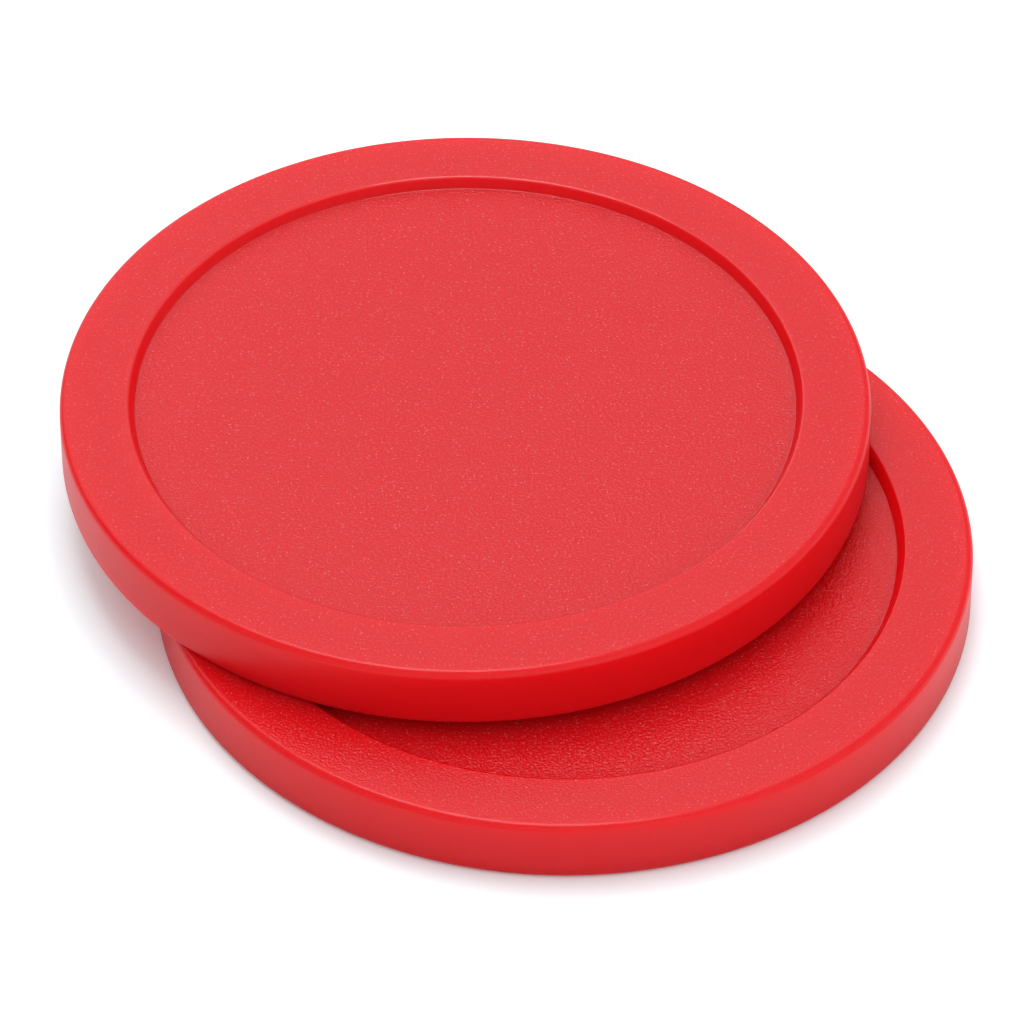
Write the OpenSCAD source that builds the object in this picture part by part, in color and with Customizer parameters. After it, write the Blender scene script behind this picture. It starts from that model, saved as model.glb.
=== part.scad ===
// Stacked game pucks: flat moulded discs with a raised rim round a shallow recess in each face.
// Millimetres, +Z up. The origin is on the table, midway between the two centres in plan.

/* [Puck] */
// Outer diameter of a puck
puck_d = 60; // [44:0.5:90]
// Thickness of a puck, from rim face to rim face
puck_h = 5; // [3.6:0.1:9]
// Radius of the rounded edge between the side and each rim face
edge_r = 0.55; // [0.2:0.05:1.2]

/* [Recess] */
// Width of the raised rim, from the side to the mouth of the recess
rim_w = 4.9; // [3:0.1:8]
// Depth of the recess in each face
recess_depth = 0.8; // [0.5:0.05:1.4]
// Radius of the rounded lip at the mouth of the recess
lip_r = 0.25; // [0.15:0.05:0.45]
// Slope of the recess wall, in degrees from upright
wall_draft = 32; // [5:1:45]

/* [Stack] */
// How far the upper puck lies to the left of the lower one
stack_left = 7.25; // [0:0.25:10]
// How far the upper puck lies behind the lower one
stack_back = 10.4; // [0:0.2:12]

/* [Hidden] */
$fn = 192;
// How far a cut runs past the face that it opens
overcut = 1;
puck_r = puck_d / 2;
mouth_r = puck_r - rim_w;
floor_z = puck_h - recess_depth;
// Point where the straight wall of the recess runs into the rounded lip
lip_end_r = mouth_r - lip_r * cos(wall_draft);
lip_end_z = puck_h - lip_r + lip_r * sin(wall_draft);
// Radius at the foot of the sloped wall
floor_r = lip_end_r - (lip_end_z - floor_z) * tan(wall_draft);
lower_centre = [stack_left / 2, -stack_back / 2, 0];
// The upper puck's rim lies face to face on the lower puck's rim
upper_centre = [-stack_left / 2, stack_back / 2, puck_h];

// Half of the plain disc's section, with both outer edges rounded
module disc_section() {
    square([puck_r - edge_r, puck_h]);
    translate([0, edge_r])
        square([puck_r, puck_h - 2 * edge_r]);
    for (z = [edge_r, puck_h - edge_r])
        translate([puck_r - edge_r, z])
            circle(r = edge_r);
}

// Half section of the recess in the top face: flat floor, sloped wall and rounded lip
module recess_section() {
    difference() {
        polygon([
            [-overcut, floor_z],
            [floor_r, floor_z],
            [lip_end_r, lip_end_z],
            [mouth_r, puck_h],
            [mouth_r, puck_h + overcut],
            [-overcut, puck_h + overcut]
        ]);
        translate([mouth_r, puck_h - lip_r])
            circle(r = lip_r);
    }
}

// One moulded puck, the same on both faces
module puck() {
    rotate_extrude()
        difference() {
            disc_section();
            recess_section();
            translate([0, puck_h])
                mirror([0, 1])
                    recess_section();
        }
}

// The puck that lies on the table
module lower_puck() {
    color([0.87, 0.17, 0.18])
        translate(lower_centre)
            puck();
}

// The loose puck that lies on the lower one, set back and to the left
module upper_puck() {
    color([0.89, 0.25, 0.27])
        translate(upper_centre)
            puck();
}

lower_puck();
upper_puck();
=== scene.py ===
# %% [markdown]
# # A loose stack of moulded game pucks
# The object is a pair of thin red discs for a tabletop game. Each one is a single plastic moulding with
# a flat raised rim, a shallow round recess in each face and rounded edges. The lower disc lies on the
# table, and the upper one lies loose on it, set back and to the left. The solid model fixes where each
# disc is and how the upper one lifts. This lesson adds what the eye needs: a finely turned surface, the
# grain of the moulded faces, the gloss of the edges, light, a floor and a camera.

# %% Load the frame
import math

import bmesh
import bpy
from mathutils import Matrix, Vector


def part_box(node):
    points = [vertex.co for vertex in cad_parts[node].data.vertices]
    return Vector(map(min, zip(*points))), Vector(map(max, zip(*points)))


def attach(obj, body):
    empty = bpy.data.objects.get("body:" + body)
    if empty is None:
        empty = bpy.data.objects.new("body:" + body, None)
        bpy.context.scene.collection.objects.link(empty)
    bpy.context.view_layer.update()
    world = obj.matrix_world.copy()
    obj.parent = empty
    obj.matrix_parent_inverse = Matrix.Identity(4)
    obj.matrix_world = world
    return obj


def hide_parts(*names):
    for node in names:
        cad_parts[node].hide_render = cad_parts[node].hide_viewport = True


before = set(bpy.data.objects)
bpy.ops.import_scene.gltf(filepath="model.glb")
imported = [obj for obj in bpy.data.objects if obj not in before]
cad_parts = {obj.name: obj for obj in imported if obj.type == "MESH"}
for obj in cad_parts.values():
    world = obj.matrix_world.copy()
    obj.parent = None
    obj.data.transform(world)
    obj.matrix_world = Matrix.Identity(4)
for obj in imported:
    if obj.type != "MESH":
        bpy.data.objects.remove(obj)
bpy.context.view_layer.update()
MM = 0.001

# %% [markdown]
# ## The camera
# A photographer of small goods stands back and uses a long lens, so that near and far edges keep nearly
# the same size. The camera looks along +Y and down on the stack from a little under 45 degrees, and it
# is aimed at the middle of the stack. A camera looks along its own -Z, so an X rotation of 90 degrees
# minus the elevation tips it from straight down to that angle.

# %% Place the camera
camera_elevation = math.radians(42.6)
camera_distance = 516.7 * MM
camera_aim = Vector((-0.18, -1.4, 4.13)) * MM
sensor_width = 36.0
picture_width = 1024
focal_pixels = 7000

camera_data = bpy.data.cameras.new("long_lens")
camera_data.sensor_width = sensor_width
camera_data.lens = focal_pixels * sensor_width / picture_width
camera_data.clip_start = 10 * MM
camera = bpy.data.objects.new("camera", camera_data)
towards_camera = Vector((0, -math.cos(camera_elevation), math.sin(camera_elevation)))
camera.location = camera_aim + towards_camera * camera_distance
camera.rotation_euler = (math.pi / 2 - camera_elevation, 0, 0)
bpy.context.collection.objects.link(camera)
bpy.context.scene.camera = camera
print("lens in mm:", round(camera_data.lens, 1))

# %% [markdown]
# ## The section of a puck
# A round moulding is drawn as half of its section and turned about its axis, as on a lathe. The section
# runs from the middle of the recess floor, up the sloping wall, over the rounded lip, across the flat
# rim, round the outer edge and down the side. The lower face is the same, turned over. The thickness
# and the diameter come from the solid, and the smaller sizes are those of the moulding.

# %% Sizes of the moulding
low, high = (Vector(corner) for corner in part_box("lower_puck"))
puck_r = (high.x - low.x) / 2
puck_h = high.z - low.z
edge_r = 0.55 * MM
rim_w = 4.9 * MM
recess_depth = 0.8 * MM
lip_r = 0.25 * MM
root_r = 0.08 * MM
wall_draft = math.radians(32)
print("puck in mm:", round(2 * puck_r / MM, 2), "across,", round(puck_h / MM, 2), "thick")

# %% Draw the half section
# Where rings of points lie on the flat bands, as shares of each band
floor_shares = (0, 0.06, 0.2, 0.4, 0.6, 0.8, 0.95)
rim_shares = (0.01, 0.25, 0.5, 0.75, 0.99)
side_shares = (0.7, 0.5)
# How many steps go round each rounding
root_steps = 4
lip_steps = 10
edge_steps = 14


def arc(centre_r, centre_z, radius, start, end, steps):
    """Points on an arc of the section, with angles measured from outward to upward."""
    points = []
    for i in range(steps + 1):
        angle = start + (end - start) * i / steps
        points.append((centre_r + radius * math.cos(angle), centre_z + radius * math.sin(angle)))
    return points


def upper_face_section():
    """From the middle of the recess floor to half way down the side, as (radius, height) points."""
    quarter = math.pi / 2
    mouth_r = puck_r - rim_w
    floor_z = puck_h - recess_depth
    # Where the straight wall runs into the lip, and where it would meet the floor
    lip_end_r = mouth_r - lip_r * math.cos(wall_draft)
    lip_end_z = puck_h - lip_r + lip_r * math.sin(wall_draft)
    floor_r = lip_end_r - (lip_end_z - floor_z) * math.tan(wall_draft)
    # The root is a small fillet between the floor and the wall
    root_centre_r = floor_r - root_r * math.tan((quarter - wall_draft) / 2)
    rim_end_r = puck_r - edge_r
    points = [(floor_r * share, floor_z) for share in floor_shares]
    points += arc(root_centre_r, floor_z + root_r, root_r, -quarter, -wall_draft, root_steps)
    points += arc(mouth_r, puck_h - lip_r, lip_r, math.pi - wall_draft, quarter, lip_steps)
    points += [(mouth_r + (rim_end_r - mouth_r) * share, puck_h) for share in rim_shares]
    points += arc(rim_end_r, puck_h - edge_r, edge_r, quarter, 0, edge_steps)
    points += [(puck_r, puck_h * share) for share in side_shares]
    return points


upper_section = upper_face_section()
lower_section = [(r, puck_h - z) for r, z in reversed(upper_section[:-1])]
puck_section = upper_section + lower_section
print("points in the section:", len(puck_section))

# %% [markdown]
# ## Turning the pucks
# Blender's spin tool sweeps the section round the axis in equal steps and leaves clean bands of
# four-sided faces. The floor of the recess, its wall and lip, the flat rim, the outer edges and the side
# came from parts of the mould that were finished in different ways, so each face gets its finish from its
# tilt and its distance from the axis.

# %% Turn one puck
turns = 360
weld_distance = 0.001 * MM
# A face's tilt is measured by the upright part of its normal: 1 on a flat face and 0 on the side
flat_limit = math.cos(math.radians(6))
side_limit = math.cos(math.radians(45))
wall_limit = math.cos(math.radians(57))


def finish_of(face):
    """The name of the finish that a face has on the real moulding."""
    tilt = abs(face.normal.z)
    outside = face.calc_center_median().xy.length > puck_r - rim_w
    if outside and tilt < side_limit:
        return "side"
    if outside:
        return "edge" if tilt < flat_limit else "rim"
    if tilt < wall_limit:
        return "wall"
    return "lip" if tilt < flat_limit else "recess"


def turn_puck(name, node, finishes):
    """Spins the section into a mesh where the node is, and gives its faces their finish."""
    corner_low, corner_high = (Vector(corner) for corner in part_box(node))
    middle = (corner_low + corner_high) / 2
    form = bmesh.new()
    ring = [form.verts.new((r, 0, z)) for r, z in puck_section]
    edges = [form.edges.new(pair) for pair in zip(ring, ring[1:])]
    bmesh.ops.spin(form, geom=ring + edges, axis=(0, 0, 1), cent=(0, 0, 0), angle=2 * math.pi,
                   steps=turns, use_merge=True)
    bmesh.ops.remove_doubles(form, verts=form.verts, dist=weld_distance)
    bmesh.ops.recalc_face_normals(form, faces=form.faces)
    slots = list(finishes)
    for face in form.faces:
        face.smooth = True
        face.material_index = slots.index(finish_of(face))
    bmesh.ops.translate(form, verts=form.verts, vec=(middle.x, middle.y, corner_low.z))
    mesh = bpy.data.meshes.new(name)
    form.to_mesh(mesh)
    form.free()
    for material in finishes.values():
        mesh.materials.append(material)
    puck = bpy.data.objects.new(name, mesh)
    bpy.context.collection.objects.link(puck)
    return puck


# %% [markdown]
# ## The plastic
# The discs are red polypropylene, coloured through. It is a waxy plastic: light sinks in a little way,
# spreads and comes out again red, so the sides and the narrow gap between the discs glow where a hard
# paint would be dark. Each face has the finish of the part of the mould that pressed it. The floor of
# the recess was spark eroded, which leaves a fine random grain of tiny craters and breaks the
# reflections into a pale haze. The rim was blasted with fine beads, so it is a little smoother. Edges
# were polished, and the lip of the recess more so: there a lamp shows as a thin clear line. The wall of
# the recess stayed as the cutter left it, which is dull. The side was rubbed with a fine stone, which
# gives it a satin sheen. The tips of small specks and the crests of the grain get a painted glint: pale
# colour that stands for the sparkle of the grain, on top of its real bumps. The real grain is finer
# than a pixel of the picture, so it is drawn coarser, at a fifth of a millimetre.

# %% Colours and a way to add nodes
# Places of the two colours and of the result on a Mix node that is set to colours
mix_first = 6
mix_second = 7
mix_result = 2


def linear(hex_colour):
    """Turns an sRGB hex value into the linear colour that shaders use."""
    channels = [int(hex_colour[i:i + 2], 16) / 255 for i in (1, 3, 5)]
    return [c / 12.92 if c <= 0.04045 else ((c + 0.055) / 1.055) ** 2.4 for c in channels] + [1.0]


def add_node(tree, kind, settings=None, links=None):
    """Adds a node, sets its options and its sockets by name or place, and links sockets to outputs."""
    node = tree.nodes.new(kind)
    for key, value in (settings or {}).items():
        if isinstance(key, int) or key in node.inputs:
            node.inputs[key].default_value = value
        else:
            setattr(node, key, value)
    for key, source in (links or {}).items():
        tree.links.new(source, node.inputs[key])
    return node


# %% Sizes of the grain and depth of the colour
red_pigment = linear("#DB0E16")
# The pale colour of the painted glints on speck tips and grain crests
glint_tip_colour = linear("#EA6B6E")
polypropylene_ior = 1.49
# How far red, green and blue light travels inside the plastic
light_reach = (3.5 * MM, 0.25 * MM, 0.2 * MM)
grain_width = 0.2 * MM
grain_height = 0.036 * MM
speck_spacing = 0.33 * MM
speck_r = 0.1 * MM
speck_height = 0.012 * MM
# A cell's random value has to pass the first number to get a tip, and the second for a full one
tip_from = 0.35
tip_full = 0.7
# Heights of the grain, from 0 to 1, at which the painted glint on a crest starts and is full
crest_from = 0.52
crest_full = 0.75
# How pale the painted glint on a crest of the grain is beside the one on the tip of a speck
crest_share = 0.25
print("grain in mm:", grain_width / MM, "wide, specks", speck_spacing / MM, "apart")


# %% One plastic with several finishes
def moulded_polypropylene(name, roughness, gloss, grain, specks):
    """Red polypropylene with a moulded surface; grain and specks (bumps and painted glints) are shares of
    their full strength.
    """
    material = bpy.data.materials.new(name)
    material.use_nodes = True
    tree = material.node_tree
    tree.nodes.clear()
    place = add_node(tree, "ShaderNodeTexCoord")
    fine = add_node(tree, "ShaderNodeTexNoise",
                    {"Scale": 1 / grain_width, "Detail": 1.0, "Roughness": 0.5},
                    {"Vector": place.outputs["Object"]})
    cells = add_node(tree, "ShaderNodeTexVoronoi", {"Scale": 1 / speck_spacing},
                     {"Vector": place.outputs["Object"]})
    domes = add_node(tree, "ShaderNodeMapRange",
                     {"interpolation_type": "SMOOTHSTEP", "From Min": 0.0,
                      "From Max": speck_r / speck_spacing, "To Min": specks, "To Max": 0.0},
                     {"Value": cells.outputs["Distance"]})
    # Each cell has a random colour, which makes its tip strong, faint or missing
    chance = add_node(tree, "ShaderNodeMapRange", {"From Min": tip_from, "From Max": tip_full},
                      {"Value": cells.outputs["Color"]})
    # A speck's tip is a real small dome, and it also carries a painted glint in the colour below
    tips = add_node(tree, "ShaderNodeMath", {"operation": "MULTIPLY"},
                    {0: domes.outputs[0], 1: chance.outputs[0]})
    crests = add_node(tree, "ShaderNodeMapRange",
                      {"From Min": crest_from, "From Max": crest_full, "To Max": crest_share * specks},
                      {"Value": fine.outputs["Fac"]})
    painted_glints = add_node(tree, "ShaderNodeMath", {"operation": "MAXIMUM"},
                      {0: tips.outputs[0], 1: crests.outputs[0]})
    # Painted glint: tips and crests are mixed towards the pale colour, standing in for the sparkle of the
    # grain
    colour = add_node(tree, "ShaderNodeMix",
                      {"data_type": "RGBA", mix_first: red_pigment, mix_second: glint_tip_colour},
                      {"Factor": painted_glints.outputs[0]})
    waves = add_node(tree, "ShaderNodeMath", {"operation": "MULTIPLY", 1: grain_height * grain},
                     {0: fine.outputs["Fac"]})
    height = add_node(tree, "ShaderNodeMath", {"operation": "MULTIPLY_ADD", 1: speck_height},
                      {0: tips.outputs[0], 2: waves.outputs[0]})
    bump = add_node(tree, "ShaderNodeBump", {"Distance": 1.0, "Strength": 1.0},
                    {"Height": height.outputs[0]})
    plastic = add_node(tree, "ShaderNodeBsdfPrincipled",
                       {"Roughness": roughness, "IOR": polypropylene_ior, "Specular IOR Level": gloss,
                        "Subsurface Weight": 1.0, "Subsurface Radius": light_reach,
                        "Subsurface Scale": 1.0},
                       {"Base Color": colour.outputs[mix_result], "Normal": bump.outputs["Normal"]})
    add_node(tree, "ShaderNodeOutputMaterial", links={"Surface": plastic.outputs["BSDF"]})
    return material


# %% The finishes
# A fine grain turns part of the gloss away from the eye, so most levels are under the usual 0.5
finishes = {
    "recess": moulded_polypropylene("red_polypropylene_spark_eroded", roughness=0.2, gloss=0.3,
                                    grain=2.2, specks=1.0),
    "rim": moulded_polypropylene("red_polypropylene_blasted", roughness=0.22, gloss=0.3,
                                 grain=1.2, specks=0.85),
    "edge": moulded_polypropylene("red_polypropylene_polished", roughness=0.18, gloss=0.3,
                                  grain=0.3, specks=0.2),
    "side": moulded_polypropylene("red_polypropylene_stone_finished", roughness=0.34, gloss=0.3,
                                  grain=0.4, specks=0.0),
    "wall": moulded_polypropylene("red_polypropylene_milled", roughness=0.3, gloss=0.12,
                                  grain=0.3, specks=0.0),
    "lip": moulded_polypropylene("red_polypropylene_lapped", roughness=0.12, gloss=0.6,
                                 grain=0.1, specks=0.0),
}
print("materials:", [finish.name for finish in finishes.values()])

# %% Make both pucks
for node in ("lower_puck", "upper_puck"):
    puck = turn_puck(node + "_moulding", node, finishes)
    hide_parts(node)
    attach(puck, node)
    print(puck.name, "has", len(puck.data.polygons), "faces")

# %% [markdown]
# ## Floor and light
# The stack lies on a plain white sheet under soft studio light. A bright patch of the room, high at the
# back and a little to the left, lies where the flat faces mirror it, and gives them their pale haze. A
# softbox overhead, a little to the left, draws the thin bright lines along the near edges and the far
# lip. The room is brighter overhead and at the front right than low at the back left, which leaves a
# shadow under the overhang on the left, and a low white card at the front right lights the near sides.
# The sheet is whiter for the camera than for the light that it sends back, so the background is white
# with no more light on the object. It is also a little less red than white, which takes most of the pink
# out of the shade where the discs tint it.

# %% Floor
floor_size = 4.0
floor_z = -0.01 * MM
sheet_for_light = linear("#F8F8F8")
sheet_for_camera = (1.1, 1.25, 1.24, 1)

half = floor_size / 2
corners = [(-half, -half, floor_z), (half, -half, floor_z), (half, half, floor_z), (-half, half, floor_z)]
floor_mesh = bpy.data.meshes.new("white_sheet")
floor_mesh.from_pydata(corners, [], [(0, 1, 2, 3)])
white_paper = bpy.data.materials.new("white_paper_sheet")
white_paper.use_nodes = True
tree = white_paper.node_tree
tree.nodes.clear()
ray = add_node(tree, "ShaderNodeLightPath")
sheet_colour = add_node(tree, "ShaderNodeMix",
                        {"data_type": "RGBA", mix_first: sheet_for_light, mix_second: sheet_for_camera},
                        {"Factor": ray.outputs["Is Camera Ray"]})
paper = add_node(tree, "ShaderNodeBsdfDiffuse", links={"Color": sheet_colour.outputs[mix_result]})
add_node(tree, "ShaderNodeOutputMaterial", links={"Surface": paper.outputs["BSDF"]})
floor_mesh.materials.append(white_paper)
floor = bpy.data.objects.new("floor", floor_mesh)
bpy.context.collection.objects.link(floor)
print("floor:", floor_size, "m square")

# %% Surroundings
studio_white = linear("#F9FBFF")
# The dim part of the room lies low at the back left, and the light falls off towards it
towards_dim_part = (-0.53, 0.54, -0.65)
room_brightest = 0.96
room_dimmest = 0.06
# The bright patch, with the cosines of the angles at which it starts and is full
towards_patch = (-0.28, 0.70, 0.66)
patch_from = 0.76
patch_full = 0.97
patch_gain = 1.05

scene = bpy.context.scene
scene.view_settings.view_transform = "Standard"
world = bpy.data.worlds.new("pale_studio")
world.use_nodes = True
tree = world.node_tree
tree.nodes.clear()
ray = add_node(tree, "ShaderNodeLightPath")
way = add_node(tree, "ShaderNodeTexCoord")
along_dim_part = add_node(tree, "ShaderNodeVectorMath",
                          {"operation": "DOT_PRODUCT", 1: towards_dim_part},
                          {0: way.outputs["Generated"]})
room_level = add_node(tree, "ShaderNodeMapRange",
                      {"From Min": -1.0, "From Max": 1.0,
                       "To Min": room_brightest, "To Max": room_dimmest},
                      {"Value": along_dim_part.outputs["Value"]})
along_patch = add_node(tree, "ShaderNodeVectorMath", {"operation": "DOT_PRODUCT", 1: towards_patch},
                       {0: way.outputs["Generated"]})
patch_level = add_node(tree, "ShaderNodeMapRange",
                       {"interpolation_type": "SMOOTHSTEP", "From Min": patch_from,
                        "From Max": patch_full, "To Min": 0.0, "To Max": patch_gain},
                       {"Value": along_patch.outputs["Value"]})
level = add_node(tree, "ShaderNodeMath", {"operation": "ADD"},
                 {0: room_level.outputs[0], 1: patch_level.outputs[0]})
room = add_node(tree, "ShaderNodeBackground", {"Color": studio_white}, {"Strength": level.outputs[0]})
seen = add_node(tree, "ShaderNodeBackground", {"Color": linear("#FFFFFF"), "Strength": 1.0})
both = add_node(tree, "ShaderNodeMixShader",
                links={"Fac": ray.outputs["Is Camera Ray"], 1: room.outputs[0], 2: seen.outputs[0]})
add_node(tree, "ShaderNodeOutputWorld", links={"Surface": both.outputs[0]})
scene.world = world
print("room from", room_dimmest, "to", room_brightest, "with a patch of", patch_gain, "more")


# %% Lamps
def softbox(name, width, depth, distance, elevation, azimuth, brightness):
    """A rectangular lamp aimed at the stack; brightness is its radiance, with 1 for a white sheet."""
    lamp_data = bpy.data.lights.new(name, "AREA")
    lamp_data.shape = "RECTANGLE"
    lamp_data.size = width
    lamp_data.size_y = depth
    lamp_data.energy = brightness * math.pi * width * depth
    lamp_data.color = studio_white[:3]
    lamp = bpy.data.objects.new(name, lamp_data)
    flat = math.cos(math.radians(elevation))
    towards_lamp = Vector((math.sin(math.radians(azimuth)) * flat, math.cos(math.radians(azimuth)) * flat,
                           math.sin(math.radians(elevation))))
    lamp.location = towards_lamp * distance
    lamp.rotation_euler = towards_lamp.to_track_quat("Z", "Y").to_euler()
    # It lights the stack and shows in the gloss, but stays out of the picture itself
    lamp.visible_camera = False
    bpy.context.collection.objects.link(lamp)
    return lamp


softboxes = [
    softbox("overhead_softbox", width=0.26, depth=0.34, distance=0.6, elevation=78, azimuth=-20,
            brightness=3.9),
    softbox("front_card", width=0.7, depth=0.24, distance=0.7, elevation=11, azimuth=156,
            brightness=0.65),
]
print("lamps:", [lamp.name for lamp in softboxes])
